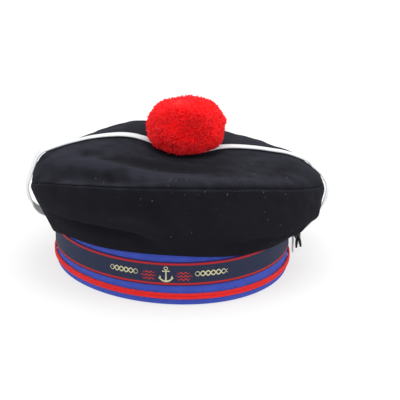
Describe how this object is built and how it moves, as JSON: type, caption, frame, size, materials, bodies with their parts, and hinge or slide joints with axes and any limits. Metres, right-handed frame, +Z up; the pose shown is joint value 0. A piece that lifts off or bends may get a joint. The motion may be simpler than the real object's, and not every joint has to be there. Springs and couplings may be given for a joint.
{
  "type": "sailor cap",
  "caption": "Soft wool sailor cap on a knitted head band, with a ribbon, a braid, a strap over the crown, a pompom and a small bow; open below for the head.",
  "frame": {"origin": "on the surface that the cap rests on, under the middle of its whole outline", "axes": "+Z up out of the crown, -Y towards the front of the cap, +X towards the wearer's left (the bow)"},
  "size_m": [0.2246, 0.2202, 0.1242],
  "materials": {
    "navy_wool": "matte brushed wool cloth",
    "blue_knit": "fine rib knit",
    "navy_ribbon": "ribbed satin with red edge lines",
    "red_braid": "plaited braid",
    "white_braid": "flat woven tape",
    "red_yarn": "cut wool yarn",
    "black_ribbon": "ribbed satin"
  },
  "bodies": {
    "root": {"crown_top": "navy_wool", "crown_side": "navy_wool", "head_band": "blue_knit", "band_braid": "red_braid", "ribbon": "navy_ribbon", "chin_strap": "white_braid", "pompom": "red_yarn", "bow_loop_front": "black_ribbon", "bow_loop_back": "black_ribbon", "bow_knot": "black_ribbon"}
  },
  "joints": []
}
